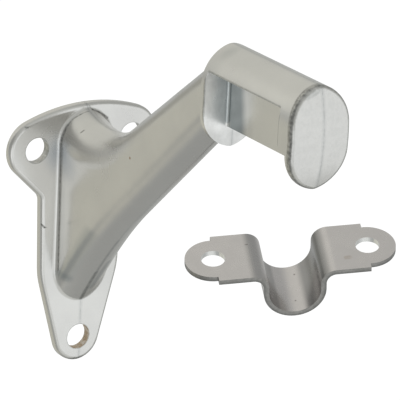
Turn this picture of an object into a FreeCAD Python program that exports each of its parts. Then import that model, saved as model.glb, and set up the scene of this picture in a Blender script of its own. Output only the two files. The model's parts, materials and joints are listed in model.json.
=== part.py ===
import FreeCAD, Part
import math
import os

import Sketcher

# Handrail bracket: a one-piece cast bracket and the pressed strap that holds the rail on it.
# Frame: +X out from the wall, Y along the wall and the rail, Z up.
# The origin is on the wall face of the plate, midway between the two upper screw holes.

Vector = FreeCAD.Vector
SNAP = 0.01  # how near two places in mm must be to count as one
doc = FreeCAD.newDocument("handrail_bracket")
sheet = doc.addObject("Spreadsheet::Sheet", "sizes")

# Driving sizes in millimetres and degrees
SIZES = [
    # wall plate
    ("plate_thick", 2.0, "plate thickness along the parting line"),
    ("hole_spread", 23.2, "distance between the two upper screw holes"),
    ("foot_drop", 43.5, "lower screw hole below the upper two"),
    ("screw_dia", 5.5, "screw hole diameter in the plate"),
    ("ear_rad", 6.5, "radius of each upper ear round its hole"),
    ("foot_rad", 5.5, "radius of the foot round its hole"),
    ("crest_rise", 8.6, "top of the plate above the upper holes"),
    ("flank_angle", 45.0, "slope of the edge under each ear"),
    ("waist_half", 10.15, "half width at the top of the waist"),
    ("waist_lean", 1.6, "how far the waist edges lean inwards going down"),
    ("taper_angle", 15.0, "slope of the long edges down to the foot"),
    ("neck_round", 2.5, "inside round between ear and waist"),
    ("hip_round", 16.0, "outside round between waist and taper"),
    ("face_draft", 1.2, "draft of the front face each way from the parting line"),
    ("plate_edge", 0.9, "round on the front edge of the plate"),
    # arm
    ("root_half", 6.15, "half width of the arm at the plate"),
    ("end_half", 6.65, "half width of the arm at the head"),
    ("top_step", 1.9, "head stands above the arm's top by this much"),
    ("end_tall", 15.7, "height of the arm where it meets the pad"),
    ("valley_out", 10.5, "lowest place of the arm's top, out from the wall"),
    ("valley_high", 5.75, "lowest place of the arm's top, above the upper holes"),
    ("valley_rad", 20.0, "radius of the hollow in the arm's top"),
    ("flare_out", 22.0, "where the underside starts to turn down, out from the wall"),
    ("flare_drop", 11.05, "where the underside starts to turn down, below the upper holes"),
    ("root_drop", 35.05, "lower end of the arm on the plate, below the upper holes"),
    ("root_round", 0.9, "round between arm and plate"),
    # head
    ("head_half", 6.85, "half width of the head"),
    ("head_top", 36.7, "top of the head above the upper holes"),
    ("head_tall", 21.0, "height of the pad and of the end cap"),
    ("pad_out", 55.2, "rail face of the pad, out from the wall"),
    ("pad_thick", 1.2, "thickness of the pad at the arm's end"),
    ("reach", 84.5, "rim of the end cap's face, out from the wall"),
    ("cap_thick", 3.9, "thickness of the end cap and its cheeks at the rim"),
    ("lip_thick", 1.3, "thickness of the end cap's rim below the cheeks"),
    ("cheek_drop", 13.3, "lower edge of the cheeks below the top of the head"),
    ("cheek_rad", 1.8, "round at the lower corner of each cheek"),
    ("face_bulge", 1.4, "crown of the end cap's face"),
    ("cap_draft", 4.0, "draft of the end cap's face each way from the parting line"),
    ("ridge_lean", 8.0, "lean of the rounded ends where the two mould halves meet"),
    ("nose_rad", 1.0, "small round at the middle of each lower end"),
    ("top_nose", 4.0, "larger round at the middle of each upper end"),
    ("soft_rad", 6.0, "round along the parting line of the plate's and the cap's face"),
    ("roof_drop", 4.7, "underside of the neck's roof below its top"),
    ("web_half", 0.95, "half thickness of the web under the roof"),
    ("web_drop", 16.8, "lower edge of the web below the roof's top"),
    ("cap_edge", 0.9, "round on the rim of the end cap"),
    ("inner_round", 0.6, "round in the corners beside the web"),
    ("corner_rad", 0.8, "round in the upper corners of the recess, seen from the side"),
    # strap
    ("strap_thick", 1.15, "sheet thickness of the strap"),
    ("strap_wide", 14.5, "width of the strap"),
    ("strap_spread", 32.8, "distance between the strap's holes"),
    ("strap_hole", 5.1, "hole diameter in the strap"),
    ("lobe_rad", 6.0, "radius of the strap's ends round the holes"),
    ("shoulder_in", 0.3, "square shoulders inboard of the holes"),
    ("trough_wide", 11.0, "inside width of the trough"),
    ("trough_deep", 10.3, "inside depth of the trough from the top of the ears"),
    ("bend_rad", 2.15, "inside radius of the bend from ear to trough"),
    # where the strap lies, taken off, in front of the wall
    ("strap_x", 30.6, "middle of the strap's top face, out from the wall"),
    ("strap_y", 33.8, "middle of the strap's top face, along the wall"),
    ("strap_z", -20.5, "middle of the strap's top face, up"),
    ("strap_turn", 63.7, "turn of the strap's length from +X about Z"),
    ("strap_tip", 5.2, "rise of the strap's far end"),
    ("strap_roll", 19.0, "tilt of the strap towards the front"),
]
for row, (alias, value, what) in enumerate(SIZES, start=1):
    sheet.set(f"A{row}", alias)
    sheet.set(f"B{row}", str(value))
    sheet.set(f"C{row}", what)
    sheet.setAlias(f"B{row}", alias)
doc.recompute()


def size(alias):
    """Read one driving size back from the sheet."""
    return float(sheet.get(alias))


def origin_plane(body, role):
    """Find one of a body's own origin planes by its role."""
    return next(f for f in body.Origin.OriginFeatures if f.Role == role)


def new_sketch(body, name, role, offset=0.0):
    """Start a sketch on an origin plane of the body, moved along the plane's normal."""
    sketch = body.newObject("Sketcher::SketchObject", name)
    sketch.AttachmentSupport = [(origin_plane(body, role), "")]
    sketch.MapMode = "FlatFace"
    sketch.AttachmentOffset = FreeCAD.Placement(Vector(0, 0, offset), FreeCAD.Rotation())
    return sketch


def add_closed(sketch, edges):
    """Add a closed run of lines and arcs and tie each end to the next start."""
    first = sketch.GeometryCount
    for edge in edges:
        sketch.addGeometry(edge, False)
    count = len(edges)
    for i in range(count):
        here, there = first + i, first + (i + 1) % count
        a, b = nearest_ends(sketch, here, there)
        sketch.addConstraint(Sketcher.Constraint("Coincident", here, a, there, b))


def nearest_ends(sketch, here, there):
    """Which end of one edge lies on which end of the next: 1 is a start and 2 an end."""
    gaps = {}
    for a in (1, 2):
        for b in (1, 2):
            gaps[(a, b)] = sketch.getPoint(here, a).distanceToPoint(sketch.getPoint(there, b))
    return min(gaps, key=gaps.get)


def line(a, b):
    """Straight line from one place to another."""
    return Part.LineSegment(Vector(a[0], a[1], 0), Vector(b[0], b[1], 0))


def arc(centre, radius, start, end):
    """Arc from one angle to another, counter-clockwise, in degrees."""
    circle = Part.Circle(Vector(centre[0], centre[1], 0), Vector(0, 0, 1), radius)
    return Part.ArcOfCircle(circle, math.radians(start), math.radians(end))


def on_circle(centre, radius, angle):
    """The place on a circle at an angle in degrees."""
    a = math.radians(angle)
    return (centre[0] + radius * math.cos(a), centre[1] + radius * math.sin(a))


def add_circle(sketch, x, y, diameter_expression, x_expression=None, y_expression=None):
    """Add a circle whose diameter and place follow the sheet."""
    diameter = 4.0
    index = sketch.addGeometry(Part.Circle(Vector(x, y, 0), Vector(0, 0, 1), diameter / 2), False)
    dim = sketch.addConstraint(Sketcher.Constraint("Diameter", index, diameter))
    sketch.setExpression(f"Constraints[{dim}]", diameter_expression)
    for kind, value, expression in (("DistanceX", x, x_expression), ("DistanceY", y, y_expression)):
        if expression is None:
            on_axis = -2 if kind == "DistanceX" else -1
            sketch.addConstraint(Sketcher.Constraint("PointOnObject", index, 3, on_axis))
        else:
            dim = sketch.addConstraint(Sketcher.Constraint(kind, -1, 1, index, 3, value))
            sketch.setExpression(f"Constraints[{dim}]", expression)


def feature(body, kind, name, profile, expressions, **settings):
    """Add a feature made from a profile, with its sizes bound to the sheet."""
    made = body.newObject("PartDesign::" + kind, name)
    made.Profile = profile
    for key, value in settings.items():
        setattr(made, key, value)
    for key, expression in expressions.items():
        made.setExpression(key, expression)
    doc.recompute()
    return made


def round_edges(body, name, radius_alias, test):
    """Fillet every edge of the body's present shape that passes the test."""
    base = body.Tip
    names = [f"Edge{i}" for i, edge in enumerate(base.Shape.Edges, start=1) if test(edge)]
    if not names:
        raise RuntimeError(f"{name}: no edge found")
    made = body.newObject("PartDesign::Fillet", name)
    made.Base = (base, names)
    made.setExpression("Radius", "sizes." + radius_alias)
    doc.recompute()
    if made.Shape.isNull() or not made.Shape.isValid():
        raise RuntimeError(f"{name} failed")
    return made


def removes(before, made):
    """Stop where a cut took nothing away."""
    if made.Shape.Volume >= before.Shape.Volume - 0.01:
        raise RuntimeError(f"{made.Name} cuts nothing")


def rounded_polygon(corners):
    """Closed run of lines, with an arc at each corner whose radius isn't zero; a corner is (x, y, radius)."""
    cuts = []
    count = len(corners)
    for i, (x, y, radius) in enumerate(corners):
        corner = (x, y)
        before, after = corners[i - 1][:2], corners[(i + 1) % count][:2]
        to_before, to_after = math.dist(corner, before), math.dist(corner, after)
        across = math.dist(before, after)
        opening = math.acos((to_before ** 2 + to_after ** 2 - across ** 2) / (2 * to_before * to_after))
        cut = radius / math.tan(opening / 2)
        cuts.append((towards(corner, before, cut), towards(corner, after, cut)))
    edges = []
    for i, (start, end) in enumerate(cuts):
        if corners[i][2] > 0:
            edges.append(arc_through(start, fillet_middle(start, corners[i][:2], end), end))
        edges.append(line(end, cuts[(i + 1) % count][0]))
    return edges


def towards(a, b, distance):
    """The point at a distance from a on the way to b."""
    share = distance / math.dist(a, b)
    return (a[0] + (b[0] - a[0]) * share, a[1] + (b[1] - a[1]) * share)


def on_plate_front(edge):
    """True for the outer edges of the plate's front face."""
    box = edge.BoundBox
    slope = math.tan(math.radians(size("face_draft")))
    lowest = size("plate_thick") - size("hole_spread") * slope
    along_ridge = box.YLength < 0.001 and box.ZLength > size("foot_drop")
    return box.XMin > lowest and not along_ridge


# Outline of the wall plate, in Y and Z
def plate_outline():
    """Two ears, a flat crest, a slim waist and a tapering foot."""
    ear_y = size("hole_spread") / 2
    ear_r = size("ear_rad")
    rise = size("crest_rise")
    # one large arc over the top that touches both ears
    crest_r = (ear_y ** 2 + rise ** 2 - ear_r ** 2) / (2 * (rise - ear_r))
    crest = (0.0, rise - crest_r)
    crest_end = math.degrees(math.atan2(-crest[1], ear_y))
    ear = (ear_y, 0.0)
    flank = size("flank_angle")
    flank_from = on_circle(ear, ear_r, -flank)
    # the flank runs down and inwards to the waist
    waist_y = size("waist_half")
    neck_z = flank_from[1] - (flank_from[0] - waist_y) / math.tan(math.radians(flank))
    neck = (waist_y, neck_z)
    foot = (0.0, -size("foot_drop"))
    taper = size("taper_angle")
    lean = size("waist_lean")
    foot_from = on_circle(foot, size("foot_rad"), -taper)
    # where the leaning waist edge meets the tapering edge
    t_waist = math.tan(math.radians(lean))
    t_foot = math.tan(math.radians(taper))
    hip_z = (waist_y - t_waist * neck_z - foot_from[0] + t_foot * foot_from[1]) / (t_foot - t_waist)
    hip = (foot_from[0] + t_foot * (hip_z - foot_from[1]), hip_z)
    neck_r = size("neck_round")
    hip_r = size("hip_round")
    # tangent lengths of the two rounds
    neck_cut = neck_r * math.tan(math.radians((90 - flank - lean) / 2))
    hip_cut = hip_r * math.tan(math.radians((taper - lean) / 2))
    flank_dir = (-math.sin(math.radians(flank)), -math.cos(math.radians(flank)))
    waist_dir = (-math.sin(math.radians(lean)), -math.cos(math.radians(lean)))
    taper_dir = (-math.sin(math.radians(taper)), -math.cos(math.radians(taper)))

    def along(point, direction, distance):
        return (point[0] + direction[0] * distance, point[1] + direction[1] * distance)

    neck_a = along(neck, flank_dir, -neck_cut)
    neck_b = along(neck, waist_dir, neck_cut)
    hip_a = along(hip, waist_dir, -hip_cut)
    hip_b = along(hip, taper_dir, hip_cut)
    neck_mid = fillet_middle(neck_a, neck, neck_b)
    hip_mid = fillet_middle(hip_a, hip, hip_b)
    right = [
        arc(ear, ear_r, -flank, crest_end),
        line(flank_from, neck_a),
        arc_through(neck_a, neck_mid, neck_b),
        line(neck_b, hip_a),
        arc_through(hip_a, hip_mid, hip_b),
        line(hip_b, foot_from),
    ]
    left = [mirrored(edge) for edge in reversed(right)]
    return (
        [arc(crest, crest_r, crest_end, 180 - crest_end)]
        + right
        + [arc(foot, size("foot_rad"), 180 + taper, 360 - taper)]
        + left
    )


def fillet_middle(a, corner, b):
    """Middle point of the arc that touches two lines at a and b and rounds their corner."""
    mid = ((a[0] + b[0]) / 2, (a[1] + b[1]) / 2)
    leg = math.dist(a, corner)
    half = math.dist(a, b) / 2
    height = math.dist(mid, corner)
    radius = leg * half / height
    bulge = radius - math.sqrt(max(radius ** 2 - half ** 2, 0.0))
    share = bulge / height
    return (mid[0] + (corner[0] - mid[0]) * share, mid[1] + (corner[1] - mid[1]) * share)


def arc_through(a, mid, b):
    """Arc from a to b by way of mid."""
    return Part.Arc(Vector(a[0], a[1], 0), Vector(mid[0], mid[1], 0), Vector(b[0], b[1], 0))


def mirrored(edge):
    """The same line or arc on the other side of the parting line."""
    middle = edge.value((edge.FirstParameter + edge.LastParameter) / 2)
    start, middle, end = ((-p.x, p.y) for p in (edge.StartPoint, middle, edge.EndPoint))
    if isinstance(edge, Part.LineSegment):
        return line(start, end)
    return arc_through(start, middle, end)


# Upright oval section of the arm and of the head
def oval_end(half, nose):
    """Sizes of one rounded end: two large arcs that lean apart and meet in a nose of the given radius."""
    radius = half / (1 - math.sin(math.radians(size("ridge_lean"))))
    inner = half - radius
    turn = math.degrees(math.acos(-inner / (radius - nose)))
    drop = math.sqrt((radius - nose) ** 2 - inner ** 2)
    return radius, inner, turn, drop


def oval(half, top, bottom):
    """Straight sides and rounded ends, softer above than below."""
    top_nose = size("top_nose")
    radius, inner, top_turn, top_rise = oval_end(half, top_nose)
    nose = size("nose_rad")
    radius, inner, turn, drop = oval_end(half, nose)
    up = top - top_nose - top_rise
    low = bottom + nose + drop
    if up <= low:
        raise ValueError("the section is too low for its rounded ends")
    return [
        arc((inner, up), radius, 0, top_turn),
        arc((0, up + top_rise), top_nose, top_turn, 180 - top_turn),
        arc((-inner, up), radius, 180 - top_turn, 180),
        line((-half, up), (-half, low)),
        arc((-inner, low), radius, 180, 180 + turn),
        arc((0, low - drop), nose, 180 + turn, 360 - turn),
        arc((inner, low), radius, 360 - turn, 360),
        line((half, low), (half, up)),
    ]


def front_cutter(face, side, depth, draft_angle, soft):
    """Region in front of a face that slopes away each way from the parting line; x is out, y is across."""
    draft = math.radians(draft_angle)
    # the two slopes meet in an arc whose crown is at the face
    touch_y = soft * math.sin(draft)
    touch_x = face - soft * (1 - math.cos(draft))
    end_x = touch_x - (side - touch_y) * math.tan(draft)
    return [
        arc_through((touch_x, -touch_y), (face, 0), (touch_x, touch_y)),
        line((touch_x, touch_y), (end_x, side)),
        line((end_x, side), (face + depth, side)),
        line((face + depth, side), (face + depth, -side)),
        line((face + depth, -side), (end_x, -side)),
        line((end_x, -side), (touch_x, -touch_y)),
    ]


# Side profile of the arm
def arm_half(x):
    """Half width of the arm, growing from the plate to the head."""
    share = (x - size("plate_thick")) / (size("pad_out") - size("plate_thick"))
    return size("root_half") + (size("end_half") - size("root_half")) * share


def arm_top(x):
    """Height of the arm's top: a hollow next to the plate, then the straight rise that touches it."""
    radius = size("valley_rad")
    centre = (size("valley_out"), size("valley_high") + radius)
    end = (size("pad_out") - size("pad_thick"), size("head_top") - size("top_step"))
    reach = math.dist(centre, end)
    lift = math.atan2(end[1] - centre[1], end[0] - centre[0]) + math.asin(radius / reach)
    touch_x = centre[0] + radius * math.sin(lift)
    if x >= touch_x:
        return end[1] + (x - end[0]) * math.tan(lift)
    return centre[1] - math.sqrt(radius ** 2 - (x - centre[0]) ** 2)


def arm_bottom(x):
    """Height of the arm's underside: it leaves the plate steeply and bends into a straight rise."""
    end_x = size("pad_out") - size("pad_thick")
    end_z = size("head_top") - size("top_step") - size("end_tall")
    flare = (size("flare_out"), -size("flare_drop"))
    slope = (end_z - flare[1]) / (end_x - flare[0])
    straight = flare[1] + (x - flare[0]) * slope
    if x >= flare[0]:
        return straight
    run = flare[0] - size("plate_thick")
    sag = flare[1] - run * slope + size("root_drop")
    return straight - sag * ((flare[0] - x) / run) ** 2


# Tests that pick the edges to be rounded
def edge_middle(edge):
    """The place halfway along an edge."""
    return edge.valueAt((edge.FirstParameter + edge.LastParameter) / 2)


def on_cap_rim(edge):
    """True for the outer edge of the end cap's crowned face."""
    middle = edge_middle(edge)
    if edge.BoundBox.XMin < size("reach") - size("lip_thick") / 2:
        return False
    face_middle = size("head_top") - size("head_tall") / 2
    on_parting_line = abs(middle.y) < 1 and abs(middle.z - face_middle) < size("head_tall") / 2 - 1
    return not on_parting_line


def beside_web(edge):
    """True for the upright corners between the web and the pad."""
    box = edge.BoundBox
    on_web_face = abs(abs(edge_middle(edge).y) - size("web_half")) < SNAP and box.YLength < SNAP
    on_pad = abs(box.XMin - size("pad_out")) < SNAP and box.XLength < SNAP
    return on_web_face and on_pad


def at_arm_root(edge):
    """True for the line where the arm meets the front of the plate."""
    box = edge.BoundBox
    thick = size("plate_thick")
    near_front = thick - 0.5 < box.XMin and box.XMax < thick + 0.1
    middle = edge_middle(edge)
    on_arm = abs(middle.y) < size("root_half") + 0.2
    return near_front and on_arm and arm_bottom(thick) - 1 < middle.z < arm_top(thick) + 0.5


# Profile of the strap's sheet
def strap_profile():
    """Two flat ears and a round-bottomed trough between them."""
    thick = size("strap_thick")
    inner = size("trough_wide") / 2
    bend_out = size("bend_rad") + thick
    bend_in = size("bend_rad")
    floor_z = -size("trough_deep") + inner
    ear_end = size("strap_spread") / 2 + size("lobe_rad")
    top_turn = inner + bend_out
    wall = floor_z < -bend_out - SNAP
    edges = [line((-ear_end, -thick), (-ear_end, 0)), line((-ear_end, 0), (-top_turn, 0))]
    edges.append(arc((-top_turn, -bend_out), bend_out, 0, 90))
    if wall:
        edges.append(line((-inner, -bend_out), (-inner, floor_z)))
    edges.append(arc((0, floor_z), inner, 180, 360))
    if wall:
        edges.append(line((inner, floor_z), (inner, -bend_out)))
    edges.append(arc((top_turn, -bend_out), bend_out, 90, 180))
    edges += [line((top_turn, 0), (ear_end, 0)), line((ear_end, 0), (ear_end, -thick))]
    edges.append(line((ear_end, -thick), (top_turn, -thick)))
    edges.append(arc((top_turn, -bend_out), bend_in, 90, 180))
    if wall:
        edges.append(line((inner + thick, -bend_out), (inner + thick, floor_z)))
    edges.append(arc((0, floor_z), inner + thick, 180, 360))
    if wall:
        edges.append(line((-inner - thick, floor_z), (-inner - thick, -bend_out)))
    edges.append(arc((-top_turn, -bend_out), bend_in, 0, 90))
    edges.append(line((-top_turn, -thick), (-ear_end, -thick)))
    return edges


def lobe_cutter(side):
    """What is trimmed off one end of the strap: everything outside the half-round lobe."""
    hole_x = side * size("strap_spread") / 2
    shoulder_x = hole_x - side * size("shoulder_in")
    half = size("strap_wide") / 2 + 2
    lobe = size("lobe_rad")
    far = hole_x + side * (lobe + 3)
    start, end = (-90, 90) if side > 0 else (90, 270)
    return [
        line((shoulder_x, -half), (far, -half)),
        line((far, -half), (far, half)),
        line((far, half), (shoulder_x, half)),
        line((shoulder_x, half), (shoulder_x, lobe)),
        line((shoulder_x, lobe), (hole_x, lobe)),
        arc((hole_x, 0), lobe, start, end),
        line((hole_x, -lobe), (shoulder_x, -lobe)),
        line((shoulder_x, -lobe), (shoulder_x, -half)),
    ]


# The casting
casting = doc.addObject("PartDesign::Body", "bracket_casting")
casting.Label = "bracket_casting"

sketch = new_sketch(casting, "plate_outline", "YZ_Plane")
add_closed(sketch, plate_outline())
plate = feature(casting, "Pad", "plate", sketch, {"Length": "sizes.plate_thick"})

# The two mould halves leave the front face sloping gently away from the parting line
sketch = new_sketch(casting, "plate_front", "XY_Plane")
add_closed(sketch, front_cutter(size("plate_thick"), size("hole_spread"), 5, size("face_draft"), size("soft_rad")))
draft = feature(casting, "Pocket", "plate_draft", sketch, {}, SideType="Symmetric", Type="ThroughAll")
removes(plate, draft)
round_edges(casting, "plate_edge_round", "plate_edge", on_plate_front)

# Screw holes
sketch = new_sketch(casting, "screw_places", "YZ_Plane", size("plate_thick"))
add_circle(sketch, -size("hole_spread") / 2, 0, "sizes.screw_dia", "-sizes.hole_spread / 2")
add_circle(sketch, size("hole_spread") / 2, 0, "sizes.screw_dia", "sizes.hole_spread / 2")
add_circle(sketch, 0, -size("foot_drop"), "sizes.screw_dia", None, "-sizes.foot_drop")
before = casting.Tip
holes = feature(casting, "Pocket", "screw_holes", sketch, {}, SideType="Symmetric", Type="ThroughAll")
removes(before, holes)

# Arm: a loft through upright ovals from inside the plate to inside the pad
pad_back = size("pad_out") - size("pad_thick")
first_station = size("plate_thick") / 2
last_station = pad_back + size("pad_thick") / 2
steps = 18
sections = []
for i in range(steps + 1):
    # closer together next to the plate, where the shape changes fastest
    share = (i / steps) ** 1.25
    x = first_station + (last_station - first_station) * share
    sketch = new_sketch(casting, f"arm_section_{i}", "YZ_Plane", x)
    add_closed(sketch, oval(arm_half(x), arm_top(x), arm_bottom(x)))
    sections.append(sketch)
doc.recompute()
arm = casting.newObject("PartDesign::AdditiveLoft", "arm")
arm.Profile = sections[0]
arm.Sections = sections[1:]
doc.recompute()

# Head: the pad, the neck and the end cap start as one upright oval bar
sketch = new_sketch(casting, "head_outline", "YZ_Plane", pad_back)
add_closed(sketch, oval(size("head_half"), size("head_top"), size("head_top") - size("head_tall")))
head = feature(casting, "Pad", "head", sketch, {"Length": "sizes.reach + sizes.face_bulge - sizes.pad_out + sizes.pad_thick"})


# Recess on each side of the web, open at the side and below; the cheeks of the end cap stand into it
web_low = size("head_top") - size("web_drop")
roof_low = size("head_top") - size("roof_drop")
cheek_low = size("head_top") - size("cheek_drop")
cap_back = size("reach") - size("cap_thick")
lip_back = size("reach") - size("lip_thick")
below_head = size("head_top") - size("head_tall") - 5
recess_corners = [
    (size("pad_out"), below_head, 0),
    (lip_back, below_head, 0),
    (lip_back, cheek_low, 0),
    (cap_back, cheek_low, size("cheek_rad")),
    (cap_back, roof_low, size("corner_rad")),
    (size("pad_out"), roof_low, 0),
]
sketch = new_sketch(casting, "recess_shape", "XZ_Plane", size("web_half"))
add_closed(sketch, rounded_polygon(recess_corners))
before = casting.Tip
recess = feature(casting, "Pocket", "near_recess", sketch, {}, Type="ThroughAll", Reversed=True)
removes(before, recess)
other = casting.newObject("PartDesign::Mirrored", "far_recess")
other.Originals = [recess]
other.MirrorPlane = (origin_plane(casting, "XZ_Plane"), [""])
casting.Tip = other
doc.recompute()
removes(recess, other)

# The web stops short of the pad's lower end
relief_corners = [
    (size("pad_out"), below_head, 0),
    (lip_back, below_head, 0),
    (lip_back, web_low, 0),
    (size("pad_out"), web_low, 0),
]
sketch = new_sketch(casting, "web_relief_shape", "XZ_Plane")
add_closed(sketch, rounded_polygon(relief_corners))
relief = feature(casting, "Pocket", "web_relief", sketch, {}, Type="ThroughAll", SideType="Symmetric")
removes(other, relief)

# Crowned face of the end cap: the sloping front is turned about a line far behind it
face_half = size("head_tall") / 2 - size("cap_edge")
crown_rad = (face_half ** 2 + size("face_bulge") ** 2) / (2 * size("face_bulge"))
crown_x = size("reach") + size("face_bulge") - crown_rad
face_mid = size("head_top") - size("head_tall") / 2
sketch = new_sketch(casting, "cap_face_shape", "XY_Plane")
sketch.AttachmentOffset = FreeCAD.Placement(Vector(crown_x, 0, face_mid), FreeCAD.Rotation())
add_closed(sketch, front_cutter(crown_rad, size("head_half") + 3, 6, size("cap_draft"), size("soft_rad")))
doc.recompute()
crown = casting.newObject("PartDesign::Groove", "cap_face")
crown.Profile = sketch
crown.ReferenceAxis = (sketch, ["V_Axis"])
crown.Midplane = True
crown.Angle = 60
doc.recompute()
removes(relief, crown)

# Rounds on the head
round_edges(casting, "cap_edge_round", "cap_edge", on_cap_rim)
round_edges(casting, "inner_corner_round", "inner_round", beside_web)
round_edges(casting, "root_edge_round", "root_round", at_arm_root)

# The strap, drawn flat on its back with its length along X and its trough hanging down
strap = doc.addObject("PartDesign::Body", "rail_strap")
strap.Label = "rail_strap"
sketch = new_sketch(strap, "strap_profile", "XZ_Plane")
add_closed(sketch, strap_profile())
sheet_metal = feature(strap, "Pad", "folded_sheet", sketch, {"Length": "sizes.strap_wide"}, SideType="Symmetric")

# Ends: square shoulders, then a half round about each hole
sketch = new_sketch(strap, "strap_ends", "XY_Plane", 1)
for side in (-1, 1):
    add_closed(sketch, lobe_cutter(side))
before = strap.Tip
ends = feature(strap, "Pocket", "trimmed_ends", sketch, {}, Type="ThroughAll", SideType="Symmetric")
removes(before, ends)

sketch = new_sketch(strap, "strap_hole_places", "XY_Plane", 1)
add_circle(sketch, -size("strap_spread") / 2, 0, "sizes.strap_hole", "-sizes.strap_spread / 2")
add_circle(sketch, size("strap_spread") / 2, 0, "sizes.strap_hole", "sizes.strap_spread / 2")
before = strap.Tip
punched = feature(strap, "Pocket", "punched_holes", sketch, {}, Type="ThroughAll", SideType="Symmetric")
removes(before, punched)

turn = FreeCAD.Rotation(Vector(0, 0, 1), size("strap_turn"))
tip = FreeCAD.Rotation(Vector(0, 1, 0), -size("strap_tip"))
roll = FreeCAD.Rotation(Vector(1, 0, 0), size("strap_roll"))
strap.Placement = FreeCAD.Placement(Vector(size("strap_x"), size("strap_y"), size("strap_z")), turn * tip * roll)
doc.recompute()

# Nothing may have failed before the shapes are written
for item in doc.Objects:
    if "Invalid" in item.State or "Error" in item.State:
        raise RuntimeError(f"{item.Name} failed: {item.State}")
os.makedirs("parts", exist_ok=True)
for body in (casting, strap):
    shape = body.Shape
    if shape.isNull() or not shape.isValid() or len(shape.Solids) != 1:
        raise RuntimeError(f"{body.Label} is not one valid solid")
    shape.exportStep(f"parts/{body.Label}.step")
    print(body.Label, round(shape.Volume, 1), "mm3", len(shape.Faces), "faces")
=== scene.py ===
import json
import logging
import math
from dataclasses import dataclass, field
from enum import Enum

import bmesh
import bpy
from mathutils import Matrix, Vector


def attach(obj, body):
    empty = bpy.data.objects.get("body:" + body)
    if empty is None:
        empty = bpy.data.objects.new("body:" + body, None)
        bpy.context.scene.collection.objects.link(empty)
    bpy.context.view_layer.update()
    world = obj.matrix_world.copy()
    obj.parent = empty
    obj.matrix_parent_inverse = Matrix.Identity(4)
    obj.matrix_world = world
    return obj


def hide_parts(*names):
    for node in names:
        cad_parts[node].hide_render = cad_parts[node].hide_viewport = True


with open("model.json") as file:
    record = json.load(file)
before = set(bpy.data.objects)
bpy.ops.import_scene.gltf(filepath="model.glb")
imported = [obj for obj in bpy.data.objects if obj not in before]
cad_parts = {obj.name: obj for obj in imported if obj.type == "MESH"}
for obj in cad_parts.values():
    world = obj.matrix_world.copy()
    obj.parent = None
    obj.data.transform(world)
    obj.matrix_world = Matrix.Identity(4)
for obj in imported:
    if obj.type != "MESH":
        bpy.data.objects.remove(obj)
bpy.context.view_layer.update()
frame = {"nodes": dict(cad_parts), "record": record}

MM = 0.001
log = logging.getLogger("handrail_bracket")

Colour = tuple[float, float, float]
Place = tuple[float, float, float]
Tree = bpy.types.NodeTree
Node = bpy.types.Node
Socket = bpy.types.NodeSocket


class Cast(Enum):
    """Colour cast of the studio's panels: the paper behind is warm, the window is cool."""

    WARM = (1.01, 1.0, 0.895)
    PALE = (1.0, 1.0, 0.94)
    PLAIN = (0.98, 1.0, 0.98)
    COOL = (0.975, 1.0, 1.015)


@dataclass(frozen=True)
class Panel:
    """A soft-edged panel on the inside of the tent."""

    azimuth: float
    elevation: float
    inner: float
    outer: float
    level: float
    cast: Cast

    def direction(self) -> Vector:
        """Give the way from the bracket to the panel's middle."""
        turn, lift = math.radians(self.azimuth), math.radians(self.elevation)
        return Vector((math.cos(turn) * math.cos(lift), math.sin(turn) * math.cos(lift), math.sin(lift)))

    def colour(self) -> Colour:
        """Give the light it sends, linear."""
        return tuple(self.level * part for part in self.cast.value)


def rgba(colour: Colour) -> tuple[float, float, float, float]:
    """Add a full alpha to a linear colour."""
    return (*colour, 1.0)


def add_node(tree: Tree, kind: str, **settings: object) -> Node:
    """Add a node to a tree.

    Args:
        tree: The tree that takes the node.
        kind: Blender's name for the kind of node.
        settings: Properties to set on it.

    Returns:
        The new node.
    """
    node = tree.nodes.new(kind)
    for name, value in settings.items():
        setattr(node, name, value)
    return node


@dataclass(frozen=True)
class Patina:
    """Something that tints the plating in one place."""

    tint: Colour
    core: float = field(default=0.3, kw_only=True)
    broken: float = field(default=0.0, kw_only=True)

    def amount(self, tree: Tree, place: Node, axes: Node) -> Socket:
        """Tell how much of it lies at each place.

        Args:
            tree: The material's tree.
            place: The node with Object coordinates.
            axes: The node with the same coordinates one by one.

        Returns:
            A socket that is 1 on it and 0 away from it.
        """
        raise NotImplementedError


@dataclass(frozen=True)
class Mark(Patina):
    """A stain, a scratch, a line of grime or a patch of painted shade round a short line between two places."""

    start_mm: Place
    end_mm: Place
    radius_mm: float

    def amount(self, tree: Tree, place: Node, axes: Node) -> Socket:
        """Fade with the distance from the short line."""
        near = add_node(tree, "ShaderNodeGroup", node_tree=reach_group())
        near.inputs["Start"].default_value = [value * MM for value in self.start_mm]
        near.inputs["Span"].default_value = (Vector(self.end_mm) - Vector(self.start_mm)) * MM
        near.inputs["Radius"].default_value = self.radius_mm * MM
        near.inputs["Core"].default_value = self.core
        tree.links.new(place.outputs["Object"], near.inputs["Place"])
        return near.outputs["Fade"]


@dataclass(frozen=True)
class Seam(Patina):
    """The parting line of the mould: everything close to a plane across Y."""

    at_mm: float
    half_mm: float

    def amount(self, tree: Tree, place: Node, axes: Node) -> Socket:
        """Fade with the distance from the plane."""
        return fade_from(tree, axes.outputs["Y"], self.at_mm, self.half_mm, self.core)


@dataclass(frozen=True)
class HoleRim(Patina):
    """Grime round the edge of a screw hole of the plate."""

    middle_yz_mm: tuple[float, float]
    radius_mm: float
    half_mm: float

    def amount(self, tree: Tree, place: Node, axes: Node) -> Socket:
        """Fade with the distance from the hole's edge."""
        squares = []
        for name, at in zip("YZ", self.middle_yz_mm):
            off = add_math(tree, "SUBTRACT", axes.outputs[name], at * MM)
            squares.append(add_math(tree, "MULTIPLY", off, off))
        reach = add_math(tree, "SQRT", add_math(tree, "ADD", *squares))
        return fade_from(tree, reach, self.radius_mm, self.half_mm, self.core)


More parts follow.
